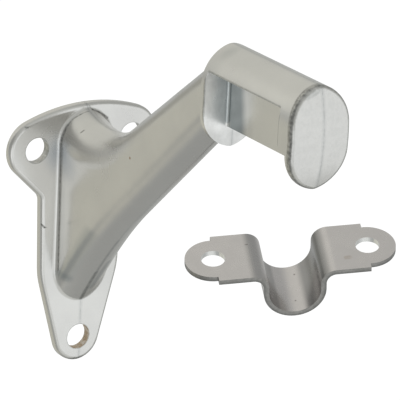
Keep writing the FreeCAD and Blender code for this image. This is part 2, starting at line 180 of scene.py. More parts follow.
@dataclass(frozen=True)
class RimPaintedShade(Patina):
    """Painted shade in the round of the end cap's rim, which follows the crown of the face."""

    face_mm: float
    middle_z_mm: float
    crown_mm: float
    draft: float
    depth_mm: float
    half_mm: float

    def amount(self, tree: Tree, place: Node, axes: Node) -> Socket:
        """Fade with the depth behind the crowned face."""
        high = add_math(tree, "SUBTRACT", axes.outputs["Z"], self.middle_z_mm * MM)
        square = add_math(tree, "MULTIPLY", high, high)
        sag = add_math(tree, "DIVIDE", square, 2 * self.crown_mm * MM)
        aside = add_math(tree, "ABSOLUTE", axes.outputs["Y"], 0.0)
        slope = add_math(tree, "MULTIPLY", aside, math.tan(math.radians(self.draft)))
        flat = add_math(tree, "ADD", add_math(tree, "ADD", axes.outputs["X"], sag), slope)
        return fade_from(tree, flat, self.face_mm - self.depth_mm, self.half_mm, self.core)


@dataclass(frozen=True)
class SheetBand(Patina):
    """A band of painted shade on bent sheet, at one place of a measure that the sheet carries."""

    measure: str
    at_mm: float
    half_mm: float

    def amount(self, tree: Tree, place: Node, axes: Node) -> Socket:
        """Fade with the distance from the band's middle."""
        measured = add_node(tree, "ShaderNodeAttribute", attribute_name=self.measure)
        return fade_from(tree, measured.outputs["Fac"], self.at_mm, self.half_mm, self.core)


def add_math(tree: Tree, operation: str, *values: Socket | float) -> Socket:
    """Add a Math node.

    Args:
        tree: The tree that takes the node.
        operation: What it works out.
        values: Its inputs, sockets or plain numbers.

    Returns:
        Its output.
    """
    node = add_node(tree, "ShaderNodeMath", operation=operation)
    for slot, value in zip(node.inputs, values):
        if isinstance(value, Socket):
            tree.links.new(value, slot)
        else:
            slot.default_value = value
    return node.outputs["Value"]


def fade_from(tree: Tree, value: Socket, at_mm: float, half_mm: float,
              core: float) -> Socket:
    """Fade with the distance of a value from a place.

    Args:
        tree: The material's tree.
        value: The value, in metres.
        at_mm: The place.
        half_mm: Distance at which nothing is left.
        core: Share of that distance within which all is left.

    Returns:
        A socket from 0 to 1.
    """
    off = add_math(tree, "ABSOLUTE", add_math(tree, "SUBTRACT", value, at_mm * MM))
    fade = add_node(tree, "ShaderNodeMapRange", interpolation_type="SMOOTHSTEP")
    fade.inputs["From Min"].default_value = half_mm * MM
    fade.inputs["From Max"].default_value = half_mm * core * MM
    tree.links.new(off, fade.inputs["Value"])
    return fade.outputs["Result"]


def chain(tint: Colour, places_mm: tuple[Place, ...], radius_mm: float) -> tuple[Mark, ...]:
    """Lay a broken line of marks through several places.

    Args:
        tint: The tint of the line.
        places_mm: The places, in order.
        radius_mm: Half the line's width.

    Returns:
        One mark between each two places.
    """
    return tuple(
        Mark(tint, start, end, radius_mm, broken=0.6)
        for start, end in zip(places_mm, places_mm[1:])
    )


def reach_group() -> Tree:
    """Make the node group that tells how near a place is to a short line.

    Returns:
        A group whose output runs from 0 at the radius to 1 at the core.
    """
    made = bpy.data.node_groups.get("line_reach")
    if made is not None:
        return made
    group = bpy.data.node_groups.new("line_reach", "ShaderNodeTree")
    for kind, names in (("NodeSocketVector", ("Place", "Start", "Span")), ("NodeSocketFloat", ("Radius", "Core"))):
        for name in names:
            group.interface.new_socket(name=name, in_out="INPUT", socket_type=kind)
    group.interface.new_socket(name="Fade", in_out="OUTPUT", socket_type="NodeSocketFloat")
    given = add_node(group, "NodeGroupInput")
    taken = add_node(group, "NodeGroupOutput")
    from_start = add_node(group, "ShaderNodeVectorMath", operation="SUBTRACT")
    group.links.new(given.outputs["Place"], from_start.inputs[0])
    group.links.new(given.outputs["Start"], from_start.inputs[1])
    along = add_node(group, "ShaderNodeVectorMath", operation="DOT_PRODUCT")
    group.links.new(from_start.outputs["Vector"], along.inputs[0])
    group.links.new(given.outputs["Span"], along.inputs[1])
    square = add_node(group, "ShaderNodeVectorMath", operation="DOT_PRODUCT")
    for side in square.inputs[:2]:
        group.links.new(given.outputs["Span"], side)
    share = add_node(group, "ShaderNodeMath", operation="DIVIDE", use_clamp=True)
    group.links.new(along.outputs["Value"], share.inputs[0])
    group.links.new(square.outputs["Value"], share.inputs[1])
    foot = add_node(group, "ShaderNodeVectorMath", operation="SCALE")
    group.links.new(given.outputs["Span"], foot.inputs[0])
    group.links.new(share.outputs["Value"], foot.inputs["Scale"])
    off = add_node(group, "ShaderNodeVectorMath", operation="DISTANCE")
    group.links.new(from_start.outputs["Vector"], off.inputs[0])
    group.links.new(foot.outputs["Vector"], off.inputs[1])
    inner = add_math(group, "MULTIPLY", given.outputs["Radius"], given.outputs["Core"])
    fade = add_node(group, "ShaderNodeMapRange", interpolation_type="SMOOTHSTEP")
    group.links.new(off.outputs["Value"], fade.inputs["Value"])
    group.links.new(given.outputs["Radius"], fade.inputs["From Min"])
    group.links.new(inner, fade.inputs["From Max"])
    group.links.new(fade.outputs["Result"], taken.inputs["Fade"])
    return group


@dataclass(frozen=True)
class SatinNickel:
    """Satin plating: a warm grey metal with soft clouds, a fine pebble, marks of grime, and marks and bands of
    painted shade.
    """

    name: str
    colour: Colour
    cloud_colour: Colour
    roughness: float
    roughness_swing: float
    cloud_per_m: float
    pebble_per_m: float
    pebble_depth_mm: float
    grain_per_m: float = 1500.0
    patinas: tuple[Patina, ...] = ()

    def build(self) -> bpy.types.Material:
        """Make the material.

        Returns:
            A material whose patterns all follow Object coordinates.
        """
        material = bpy.data.materials.new(self.name)
        material.use_nodes = True
        tree = material.node_tree
        shader = tree.nodes["Principled BSDF"]
        shader.inputs["Metallic"].default_value = 1.0
        place = add_node(tree, "ShaderNodeTexCoord")
        grain = self._grain(tree, place)
        axes = add_node(tree, "ShaderNodeSeparateXYZ")
        tree.links.new(place.outputs["Object"], axes.inputs["Vector"])
        colour = self._clouds(tree, place, shader)
        for patina in self.patinas:
            colour = self._tint(tree, colour, patina.amount(tree, place, axes), grain, patina)
        tree.links.new(colour, shader.inputs["Base Color"])
        self._pebble(tree, place, shader)
        return material

    def _clouds(self, tree: Tree, place: Node,
                shader: Node) -> Socket:
        """Drive colour and roughness with a soft cloud pattern.

        Args:
            tree: The material's tree.
            place: The node with Object coordinates.
            shader: The surface shader.

        Returns:
            The colour socket.
        """
        clouds = add_node(tree, "ShaderNodeTexNoise")
        clouds.inputs["Scale"].default_value = self.cloud_per_m
        clouds.inputs["Detail"].default_value = 6.0
        clouds.inputs["Roughness"].default_value = 0.6
        tree.links.new(place.outputs["Object"], clouds.inputs["Vector"])
        spread = add_node(tree, "ShaderNodeMapRange")
        spread.inputs["From Min"].default_value = 0.3
        spread.inputs["From Max"].default_value = 0.7
        tree.links.new(clouds.outputs["Fac"], spread.inputs["Value"])
        mix = add_node(tree, "ShaderNodeMix", data_type="RGBA")
        mix.inputs["A"].default_value = rgba(self.colour)
        mix.inputs["B"].default_value = rgba(self.cloud_colour)
        tree.links.new(spread.outputs["Result"], mix.inputs["Factor"])
        dull = add_node(tree, "ShaderNodeMapRange")
        dull.inputs["To Min"].default_value = self.roughness - self.roughness_swing
        dull.inputs["To Max"].default_value = self.roughness + self.roughness_swing
        tree.links.new(spread.outputs["Result"], dull.inputs["Value"])
        tree.links.new(dull.outputs["Result"], shader.inputs["Roughness"])
        return mix.outputs["Result"]

    def _grain(self, tree: Tree, place: Node) -> Socket:
        """Make the coarse grain that breaks up marks.

        Args:
            tree: The material's tree.
            place: The node with Object coordinates.

        Returns:
            A socket that runs from 0 to 1 from grain to grain.
        """
        noise = add_node(tree, "ShaderNodeTexNoise")
        noise.inputs["Scale"].default_value = self.grain_per_m
        noise.inputs["Detail"].default_value = 3.0
        tree.links.new(place.outputs["Object"], noise.inputs["Vector"])
        sharp = add_node(tree, "ShaderNodeMapRange")
        sharp.inputs["From Min"].default_value = 0.38
        sharp.inputs["From Max"].default_value = 0.62
        tree.links.new(noise.outputs["Fac"], sharp.inputs["Value"])
        return sharp.outputs["Result"]

    def _tint(self, tree: Tree, colour: Socket, amount: Socket,
              grain: Socket, what: Patina) -> Socket:
        """Tint the colour by one patina.

        Args:
            tree: The material's tree.
            colour: The colour so far.
            amount: How much of it lies at each place.
            grain: The grain that breaks it up.
            what: The patina.

        Returns:
            The tinted colour.
        """
        gaps = add_node(tree, "ShaderNodeMapRange")
        gaps.inputs["To Min"].default_value = 1.0 - what.broken
        tree.links.new(grain, gaps.inputs["Value"])
        factor = add_math(tree, "MULTIPLY", amount, gaps.outputs["Result"])
        mix = add_node(tree, "ShaderNodeMix", data_type="RGBA", blend_type="MULTIPLY")
        mix.inputs["B"].default_value = rgba(what.tint)
        tree.links.new(factor, mix.inputs["Factor"])
        tree.links.new(colour, mix.inputs["A"])
        return mix.outputs["Result"]

    def _pebble(self, tree: Tree, place: Node, shader: Node) -> None:
        """Give the surface the fine pebble of plated metal.

        Args:
            tree: The material's tree.
            place: The node with Object coordinates.
            shader: The surface shader.
        """
        grain = add_node(tree, "ShaderNodeTexNoise")
        grain.inputs["Scale"].default_value = self.pebble_per_m
        grain.inputs["Detail"].default_value = 3.0
        bump = add_node(tree, "ShaderNodeBump")
        bump.inputs["Strength"].default_value = 0.5
        bump.inputs["Distance"].default_value = self.pebble_depth_mm * MM
        tree.links.new(place.outputs["Object"], grain.inputs["Vector"])
        tree.links.new(grain.outputs["Fac"], bump.inputs["Height"])
        tree.links.new(bump.outputs["Normal"], shader.inputs["Normal"])


# grime round the holes, the nicks and the crest seam, and painted shade lines along the recess edges and the ridge
GRIME_AND_PAINTED_SHADE = (0.55, 0.56, 0.55)
SHADE = (0.80, 0.81, 0.81)
PALE_SHADE = (0.92, 0.925, 0.93)
CRACK = (0.28, 0.28, 0.27)
RUST = (0.42, 0.22, 0.08)
# painted dark reflection on the web beside the pad
WEB_DARK_PAINTED_REFLECTION = (0.42, 0.46, 0.485)
DARK_SEAM = (0.42, 0.42, 0.42)
# painted bluish reflection at the arm's root
ROOT_PAINTED_REFLECTION = (0.80, 0.83, 0.87)
# painted shade on the pad under the roof
PAD_TOP_PAINTED_SHADE = (0.86, 0.865, 0.87)
# painted shade on the pad's lower end
PAD_FOOT_PAINTED_SHADE = (0.80, 0.80, 0.80)
# painted shade in the corner between pad and web
PAD_CORNER_PAINTED_SHADE = (0.63, 0.67, 0.69)
# painted shade in the root's lower corner
ROOT_CORNER_PAINTED_SHADE = (0.76, 0.79, 0.81)
# painted shade beside the ridge
RIDGE_SIDE_PAINTED_SHADE = (0.70, 0.72, 0.73)
# painted shade along the arm's lower band
LOW_BAND_PAINTED_SHADE = (0.80, 0.825, 0.84)
# painted shade in the round of the end cap's rim
RIM_PAINTED_SHADE = (0.40, 0.405, 0.40)

# Faces of the cast piece, and its screw holes, in millimetres
PAD_X = 55.2
WEB_Y = -0.95
SIDE_Y = -6.15
HOLE_RADIUS = 2.75
HOLES_YZ = ((11.6, 0.0), (-11.6, 0.0), (0.0, -43.5))
PARTING_Y = 0.3

# painted dark reflection on the web beside the pad, which stays clear of it
WEB_PAINTED_REFLECTION = Mark(WEB_DARK_PAINTED_REFLECTION, (57.0, WEB_Y, 33.0), (58.4, WEB_Y, 18.5), 4.2, core=0.35)

CASTING_PATINAS = (
    # the speck of rust on the arm
    Mark(RUST, (29.0, -6.6, 6.0), (29.0, -6.6, 6.0), 0.45),
    # painted bluish reflection in the root's upper corner, and painted shade on the pad under the roof
    Mark(ROOT_PAINTED_REFLECTION, (3.2, SIDE_Y, -1.0), (5.0, -6.2, -3.0), 5.0, core=0.0),
    Mark(PAD_TOP_PAINTED_SHADE, (PAD_X, -5.4, 32.5), (PAD_X, -2.5, 31.5), 5.0, core=0.05),
    # painted shade on the pad's lower end
    Mark(PAD_FOOT_PAINTED_SHADE, (PAD_X, -6.0, 16.8), (PAD_X, 3.0, 16.8), 4.0, core=0.3),
    # painted shade in the corner between pad and web
    Mark(PAD_CORNER_PAINTED_SHADE, (55.4, -1.1, 33.0), (55.4, -1.1, 21.2), 0.7, core=0.5),
    # painted pale shade on the web, fading out beside the painted reflection
    Mark(PALE_SHADE, (61.4, WEB_Y, 33.0), (62.4, WEB_Y, 18.5), 2.6, core=0.2),
    # painted shade lines along the recess's upper edge and the edges of the pad and the cheek
    Mark(GRIME_AND_PAINTED_SHADE, (55.6, -6.22, 32.0), (80.0, -6.22, 32.0), 0.5, broken=0.3),
    Mark(SHADE, (80.6, -6.8, 31.2), (80.6, -6.8, 24.6), 0.35),
    Mark(GRIME_AND_PAINTED_SHADE, (PAD_X, -6.85, 32.5), (PAD_X, -6.85, 20.5), 0.45, broken=0.3),
    Mark(GRIME_AND_PAINTED_SHADE, (PAD_X, -6.85, 20.5), (PAD_X, -4.6, 16.8), 0.45, broken=0.3),
    # the seam between arm and plate
    Mark(DARK_SEAM, (2.4, -6.24, 1.0), (2.85, SIDE_Y, -27.2), 0.28, broken=0.6),
    # painted soft shade beside the seam
    Mark(PALE_SHADE, (3.6, SIDE_Y, 2.0), (3.6, SIDE_Y, -26.0), 1.8, core=0.1),
    *chain(DARK_SEAM, ((2.4, SIDE_Y, 1.6), (2.45, -5.5, 3.5), (2.45, -4.8, 4.7)), 0.4),
    *chain(GRIME_AND_PAINTED_SHADE, ((2.45, -4.8, 4.7), (2.5, -3.65, 5.9), (2.8, -1.9, 6.8), (2.9, 0.0, 7.25)), 0.28),
    # painted shade in the root's lower corner, beside the ridge and along the arm's lower band
    Mark(ROOT_CORNER_PAINTED_SHADE, (3.3, -5.9, -28.0), (4.3, -4.9, -28.7), 2.0, core=0.1),
    Mark(RIDGE_SIDE_PAINTED_SHADE, (4.1, 1.8, -31.5), (8.8, 2.6, -24.9), 1.6, core=0.2),
    Mark(LOW_BAND_PAINTED_SHADE, (4.6, -5.4, -27.5), (13.5, -5.4, -15.5), 2.6, core=0.1),
    # grime round the screw holes
    *(HoleRim(GRIME_AND_PAINTED_SHADE, middle, HOLE_RADIUS, 0.22, broken=0.6) for middle in HOLES_YZ),
    # cracks and nicks in the plating
    Mark(CRACK, (1.9, 0.6, 8.6), (2.4, 1.3, 7.3), 0.3, broken=0.5),
    Mark(CRACK, (2.33, 1.31, 7.3), (2.39, 3.03, 6.41), 0.35, broken=0.5),
    Mark(CRACK, (2.39, 3.03, 6.41), (1.94, 5.37, 4.82), 0.4, broken=0.6),
    Mark(CRACK, (1.56, -9.85, -16.71), (1.81, -9.24, -17.39), 0.3, broken=0.3),
    Mark(GRIME_AND_PAINTED_SHADE, (1.81, -9.24, -17.39), (2.0, -8.7, -17.5), 0.25),
    Mark(CRACK, (6.5, -4.1, 4.3), (6.7, -3.4, 4.7), 0.25, broken=0.4),
    Mark(GRIME_AND_PAINTED_SHADE, (1.51, -14.48, 5.42), (1.7, -13.9, 5.4), 0.3),
    # painted shade along the ridge under the arm's root
    Mark(GRIME_AND_PAINTED_SHADE, (2.3, 0.3, -34.6), (7.6, 0.3, -27.1), 0.8, broken=0.3),
    Mark(SHADE, (7.6, 0.3, -27.1), (15.6, 0.3, -17.5), 0.7, broken=0.3),
    # painted shade on the rim of the end cap and in its round
    Mark(SHADE, (84.5, -3.2, 34.9), (84.5, -0.6, 35.8), 0.8, broken=0.4),
    RimPaintedShade(RIM_PAINTED_SHADE, face_mm=85.9, middle_z_mm=26.2, crown_mm=33.6, draft=4.0, depth_mm=0.80, half_mm=0.92,
             core=0.4, broken=0.5),
    # the parting line of the mould, with the soft shade beside it
    Seam(SHADE, PARTING_Y, 0.2, broken=0.7),
    Seam(PALE_SHADE, PARTING_Y, 0.7),
)
CASTING_NICKEL = SatinNickel(
    name="satin_nickel_casting",
    colour=(0.73, 0.72, 0.69),
    cloud_colour=(0.68, 0.67, 0.645),
    roughness=0.24,
    roughness_swing=0.05,
    cloud_per_m=70.0,
    pebble_per_m=900.0,
    pebble_depth_mm=0.010,
    patinas=(*CASTING_PATINAS, WEB_PAINTED_REFLECTION),
)
# the pad's frosted plating: rougher, and painted lighter as a painted highlight
FROSTED_PAD_PAINTED_LIGHT = SatinNickel(
    name="frosted_pad",
    colour=(0.91, 0.905, 0.88),
    cloud_colour=(0.82, 0.815, 0.79),
    roughness=0.33,
    roughness_swing=0.07,
    cloud_per_m=500.0,
    pebble_per_m=900.0,
    pebble_depth_mm=0.02,
    patinas=CASTING_PATINAS,
)


@dataclass(frozen=True)
class StrapSizes:
    """Sizes of the strap in millimetres, taken at the middle of the sheet."""

    hole_spread: float = 32.8
    hole_radius: float = 2.55
    lobe_radius: float = 6.0
    shoulder_inset: float = 0.3
    width: float = 14.5
    sheet: float = 1.15
    trough_width: float = 12.15
    trough_depth: float = 10.3
    ear_bend_radius: float = 2.725


# painted dark reflection on the trough's wall
TROUGH_PAINTED_REFLECTION = (0.55, 0.565, 0.57)
# painted shade in bands on the sheet and along the cut face's lower edge
HALF_PAINTED_SHADE = (0.72, 0.73, 0.73)
PIT = (0.45, 0.43, 0.42)
WARM_SPOT = (0.80, 0.74, 0.68)

STRAP_PATINAS = (
    # painted dark reflections in bands across the sheet's bends and trough walls
    SheetBand(HALF_PAINTED_SHADE, "along", -14.4, 1.9, core=0.3),
    SheetBand(HALF_PAINTED_SHADE, "along", -6.8, 3.8, core=0.7),
    SheetBand(TROUGH_PAINTED_REFLECTION, "along", 8.2, 6.3, core=0.65),
    SheetBand(HALF_PAINTED_SHADE, "along", 13.0, 1.8, core=0.3),
    # pits and a faint warm stain
    Mark(PIT, (25.0, 39.2, -28.4), (25.0, 39.2, -28.4), 0.3),
    Mark(PIT, (31.6, 35.1, -31.3), (31.6, 35.1, -31.3), 0.3),
    Mark(PIT, (23.5, 27.2, -20.1), (23.6, 27.5, -20.1), 0.3, broken=0.5),
    Mark(WARM_SPOT, (38.6, 42.6, -20.6), (38.8, 43.2, -20.6), 0.8, broken=0.6),
)
STRAP_NICKEL = SatinNickel(
    name="satin_nickel_strap",
    colour=(0.71, 0.68, 0.671),
    cloud_colour=(0.68, 0.651, 0.642),
    roughness=0.28,
    roughness_swing=0.02,
    cloud_per_m=350.0,
    pebble_per_m=2600.0,
    pebble_depth_mm=0.001,
    patinas=STRAP_PATINAS,
)
CUT_STEEL = SatinNickel(
    name="cut_steel",
    colour=(0.40, 0.39, 0.38),
    cloud_colour=(0.29, 0.285, 0.275),
    roughness=0.34,
    roughness_swing=0.06,
    cloud_per_m=1200.0,
    pebble_per_m=2600.0,
    pebble_depth_mm=0.02,
    # painted shade along the lower edge of the cut face
    patinas=(SheetBand(HALF_PAINTED_SHADE, "through", -StrapSizes.sheet / 2, 0.7, core=0.3),),
)
PUNCHED_STEEL = SatinNickel(
    name="punched_steel",
    colour=(0.97, 0.97, 0.96),
    cloud_colour=(0.92, 0.92, 0.91),
    roughness=0.20,
    roughness_swing=0.03,
    cloud_per_m=900.0,
    pebble_per_m=2600.0,
    pebble_depth_mm=0.005,
)


@dataclass(frozen=True)
class BareZinc:
    """Dull cast zinc with brown dust, where the plating did not reach."""

    name: str = "bare_zinc"
    colour: Colour = (0.55, 0.44, 0.31)
    fleck_colour: Colour = (0.78, 0.74, 0.67)

    def build(self) -> bpy.types.Material:
        """Make the material.

        Returns:
            A dull material with pale flecks.
        """
        material = bpy.data.materials.new(self.name)
        material.use_nodes = True
        tree = material.node_tree
        shader = tree.nodes["Principled BSDF"]
        shader.inputs["Metallic"].default_value = 0.4
        shader.inputs["Roughness"].default_value = 0.6
        place = add_node(tree, "ShaderNodeTexCoord")
        flecks = add_node(tree, "ShaderNodeTexNoise")
        flecks.inputs["Scale"].default_value = 900.0
        tree.links.new(place.outputs["Object"], flecks.inputs["Vector"])
        sharp = add_node(tree, "ShaderNodeMapRange")
        sharp.inputs["From Min"].default_value = 0.45
        sharp.inputs["From Max"].default_value = 0.65
        tree.links.new(flecks.outputs["Fac"], sharp.inputs["Value"])
        mix = add_node(tree, "ShaderNodeMix", data_type="RGBA")
        mix.inputs["A"].default_value = rgba(self.colour)
        mix.inputs["B"].default_value = rgba(self.fleck_colour)
        tree.links.new(sharp.outputs["Result"], mix.inputs["Factor"])
        tree.links.new(mix.outputs["Result"], shader.inputs["Base Color"])
        return material


@dataclass
class Casting:
    """The one-piece cast bracket."""

    node: str = "bracket_casting"
    finish: SatinNickel = CASTING_NICKEL
    bore_finish: BareZinc = BareZinc()
    pad_finish: SatinNickel = FROSTED_PAD_PAINTED_LIGHT
    pad_x_mm: float = PAD_X
    pad_corner_mm: float = 0.65
    pad_slack_mm: float = 0.05
    bore_reach: float = 1.01
    greatest_lean: float = 0.1
    least_facing: float = 0.3

    def dress(self) -> None:
        """Give the cast piece its plating, bare metal in the lower screw hole and a frosted pad whose lighter
        colour is a painted highlight.
        """
        part = frame["nodes"][self.node]
        part.data.materials.clear()
        for finish in (self.finish, self.bore_finish, self.pad_finish):
            part.data.materials.append(finish.build())
        hole = next(mount for mount in frame["record"]["mounts"] if mount["name"] == "lower_screw_hole")
        for face in part.data.polygons:
            if self._in_hole(face, Vector(hole["pos_m"]), hole["dims"]["r_mm"] * MM):
                face.material_index = 1
            elif self._on_pad(face):
                face.material_index = 2
        log.info("%s dressed", self.node)

    def _in_hole(self, face: bpy.types.MeshPolygon, middle: Vector, radius: float) -> bool:
        """Tell whether a face is on a screw hole's wall."""
        within = (face.center - middle).yz.length < radius * self.bore_reach
        return within and abs(face.normal.x) < self.greatest_lean

    def _on_pad(self, face: bpy.types.MeshPolygon) -> bool:
        """Tell whether a face is on the pad at the arm's head, or in its corner with the web."""
        depth_mm = face.center.x / MM - self.pad_x_mm
        on_depth = -self.pad_slack_mm < depth_mm < self.pad_corner_mm
        return on_depth and face.normal.x > self.least_facing and face.center.z > 0.0


@dataclass
class Strap:
    """The pressed strap: a blank is cut flat, punched, and bent along its path by Geometry Nodes."""

    node: str = "rail_strap"
    body: str = "root"
    sizes: StrapSizes = StrapSizes()
    finish: SatinNickel = STRAP_NICKEL
    cut_finish: SatinNickel = CUT_STEEL
    punched_finish: SatinNickel = PUNCHED_STEEL
    edge_round_mm: float = 0.12
    bend_steps: int = 24
    blank_steps: int = 140
    lobe_corners: int = 72
    hole_corners: int = 48

    def build(self) -> None:
        """Make the strap and put it in the place of its CAD node."""
        blank = bpy.data.objects.new("strap_blank", bpy.data.meshes.new("strap_blank"))
        bpy.context.scene.collection.objects.link(blank)
        bend = blank.modifiers.new("bend", "NODES")
        bend.node_group = self._bending_tree()
        for item in bend.node_group.interface.items_tree:
            if item.in_out == "INPUT":
                bend[item.identifier] = getattr(self.sizes, item.name.lower().replace(" ", "_")) * MM
        edge = blank.modifiers.new("edge", "BEVEL")
        edge.width = self.edge_round_mm * MM
        edge.segments = 2
        edge.limit_method = "ANGLE"
        edge.angle_limit = math.radians(40.0)
        edge.harden_normals = True
        evaluated = blank.evaluated_get(bpy.context.evaluated_depsgraph_get())
        mesh = bpy.data.meshes.new_from_object(evaluated)
        mesh.materials.pop(index=0)
        bpy.data.objects.remove(blank)
        mesh.transform(self._placement())
        piece = bpy.data.objects.new("strap_bent", mesh)
        bpy.context.scene.collection.objects.link(piece)
        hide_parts(self.node)
        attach(piece, self.body)
        log.info("%s built from a blank of %d faces", self.node, len(mesh.polygons))

    def _placement(self) -> Matrix:
        """Find the strap's place from its two screw holes.

        Returns:
            The matrix from the strap's own axes to the bracket's.
        """
        mounts = {mount["name"]: mount for mount in frame["record"]["mounts"]}
        near, far = (Vector(mounts[name]["pos_m"]) for name in ("strap_hole_near", "strap_hole_far"))
        along = (far - near).normalized()
        outward = -Vector(mounts["strap_hole_near"]["axis"]).normalized()
        across = outward.cross(along)
        return Matrix.Translation((near + far) / 2) @ Matrix((along, across, outward)).transposed().to_4x4()

    def _bending_tree(self) -> bpy.types.GeometryNodeTree:
        """Make the node tree that cuts the blank and bends it.

        Returns:
            A tree whose inputs are the strap's sizes.
        """
        tree = bpy.data.node_groups.new("bent_strap", "GeometryNodeTree")
        for name in ("Hole Spread", "Hole Radius", "Lobe Radius", "Shoulder Inset", "Width", "Sheet",
                     "Trough Width", "Trough Depth", "Ear Bend Radius"):
            tree.interface.new_socket(name=name, in_out="INPUT", socket_type="NodeSocketFloat")
        tree.interface.new_socket(name="Strap", in_out="OUTPUT", socket_type="NodeSocketGeometry")
        size = add_node(tree, "NodeGroupInput").outputs
        path = self._path(tree, size)
        measure = add_node(tree, "GeometryNodeCurveLength")
        tree.links.new(path, measure.inputs["Curve"])
        half_length = add_math(tree, "MULTIPLY", measure.outputs["Length"], 0.5)
        blank = self._blank(tree, size, half_length)
        bent = self._bend(tree, blank, path, half_length)
        whole = add_node(tree, "GeometryNodeRealizeInstances")
        tree.links.new(bent, whole.inputs["Geometry"])
        dressed = whole.outputs["Geometry"]
        coats = ((self.finish, ""), (self.cut_finish, "cut_edge"), (self.punched_finish, "punched"))
        for finish, faces in coats:
            coat = add_node(tree, "GeometryNodeSetMaterial")
            coat.inputs["Material"].default_value = finish.build()
            tree.links.new(dressed, coat.inputs["Geometry"])
            if faces:
                chosen = add_node(tree, "GeometryNodeInputNamedAttribute", data_type="BOOLEAN")
                chosen.inputs["Name"].default_value = faces
                tree.links.new(chosen.outputs["Attribute"], coat.inputs["Selection"])
            dressed = coat.outputs["Geometry"]
        tree.links.new(dressed, add_node(tree, "NodeGroupOutput").inputs["Strap"])
        return tree

    def _path(self, tree: Tree, size: bpy.types.NodeOutputs) -> Socket:
        """Draw the path of the sheet's middle: ear, trough, ear.

        Args:
            tree: The strap's tree.
            size: The tree's inputs.

        Returns:
            The path with its bends rounded.
        """
        half_trough = add_math(tree, "MULTIPLY", size["Trough Width"], 0.5)
        tip = add_math(tree, "ADD", add_math(tree, "MULTIPLY", size["Hole Spread"], 0.5), size["Lobe Radius"])
        ends = (add_math(tree, "MULTIPLY", tip, -1.0), add_math(tree, "MULTIPLY", half_trough, -1.0))
        deep = add_math(tree, "MULTIPLY", size["Trough Depth"], -1.0)
        corners = (
            (ends[0], 0.0), (ends[1], 0.0), (ends[1], deep),
            (half_trough, deep), (half_trough, 0.0), (tip, 0.0),
        )
        dots = add_node(tree, "GeometryNodeMeshLine")
        dots.inputs["Count"].default_value = len(corners)
        which = add_node(tree, "GeometryNodeInputIndex").outputs["Index"]
        pick = add_node(tree, "GeometryNodeIndexSwitch", data_type="VECTOR")
        while len(pick.index_switch_items) < len(corners):
            pick.index_switch_items.new()
        tree.links.new(which, pick.inputs["Index"])
        for number, (x, z) in enumerate(corners):
            corner = add_node(tree, "ShaderNodeCombineXYZ")
            for name, value in (("X", x), ("Z", z)):
                if isinstance(value, Socket):
                    tree.links.new(value, corner.inputs[name])
            tree.links.new(corner.outputs["Vector"], pick.inputs[number + 1])
        placed = add_node(tree, "GeometryNodeSetPosition")
        tree.links.new(dots.outputs["Mesh"], placed.inputs["Geometry"])
        tree.links.new(pick.outputs["Output"], placed.inputs["Position"])
        line = add_node(tree, "GeometryNodeMeshToCurve")
        tree.links.new(placed.outputs["Geometry"], line.inputs["Mesh"])
        off_middle = add_math(tree, "ABSOLUTE", add_math(tree, "SUBTRACT", which, (len(corners) - 1) / 2))
        is_ear = add_math(tree, "GREATER_THAN", off_middle, 1.0)
        is_trough = add_math(tree, "SUBTRACT", 1.0, is_ear)
        radius = add_math(tree, "ADD", add_math(tree, "MULTIPLY", is_ear, size["Ear Bend Radius"]),
                          add_math(tree, "MULTIPLY", is_trough, half_trough))
        rounded = add_node(tree, "GeometryNodeFilletCurve", mode="POLY")
        rounded.inputs["Count"].default_value = self.bend_steps
        rounded.inputs["Limit Radius"].default_value = True
        tree.links.new(line.outputs["Curve"], rounded.inputs["Curve"])
        tree.links.new(radius, rounded.inputs["Radius"])
        return rounded.outputs["Curve"]

    def _blank(self, tree: Tree, size: bpy.types.NodeOutputs,
               half_length: Socket) -> Socket:
        """Cut the flat blank and punch its two holes.

        Args:
            tree: The strap's tree.
            size: The tree's inputs.
            half_length: Half the length of the path.

        Returns:
            The flat blank, with its cut faces marked.
        """
        at_hole = add_math(tree, "SUBTRACT", half_length, size["Lobe Radius"])
        at_shoulder = add_math(tree, "SUBTRACT", at_hole, size["Shoulder Inset"])
        strip_size = add_node(tree, "ShaderNodeCombineXYZ")
        tree.links.new(add_math(tree, "MULTIPLY", at_shoulder, 2.0), strip_size.inputs["X"])
        tree.links.new(size["Width"], strip_size.inputs["Y"])
        tree.links.new(size["Sheet"], strip_size.inputs["Z"])
        strip = add_node(tree, "GeometryNodeMeshCube")
        strip.inputs["Vertices X"].default_value = self.blank_steps
        tree.links.new(strip_size.outputs["Vector"], strip.inputs["Size"])
        union = add_node(tree, "GeometryNodeMeshBoolean", operation="UNION", solver="EXACT")
        lobes = self._discs(tree, size["Lobe Radius"], size["Sheet"], at_hole, self.lobe_corners)
        tree.links.new(lobes, union.inputs["Mesh 2"])
        tree.links.new(strip.outputs["Mesh"], union.inputs["Mesh 2"])
        punch_length = add_math(tree, "MULTIPLY", size["Sheet"], 3.0)
        punched = add_node(tree, "GeometryNodeMeshBoolean", operation="DIFFERENCE", solver="EXACT")
        tree.links.new(union.outputs["Mesh"], punched.inputs["Mesh 1"])
        punches = self._discs(tree, size["Hole Radius"], punch_length, at_hole, self.hole_corners)
        tree.links.new(punches, punched.inputs["Mesh 2"])
        upright, flat = (add_node(tree, "ShaderNodeSeparateXYZ") for _ in range(2))
        tree.links.new(add_node(tree, "GeometryNodeInputNormal").outputs["Normal"], upright.inputs["Vector"])
        tree.links.new(add_node(tree, "GeometryNodeInputPosition").outputs["Position"], flat.inputs["Vector"])
        is_side = add_math(tree, "LESS_THAN", add_math(tree, "ABSOLUTE", upright.outputs["Z"]), 0.5)
        from_hole = add_math(tree, "SUBTRACT", add_math(tree, "ABSOLUTE", flat.outputs["X"]), at_hole)
        squares = [add_math(tree, "MULTIPLY", off, off) for off in (from_hole, flat.outputs["Y"])]
        reach = add_math(tree, "SQRT", add_math(tree, "ADD", *squares))
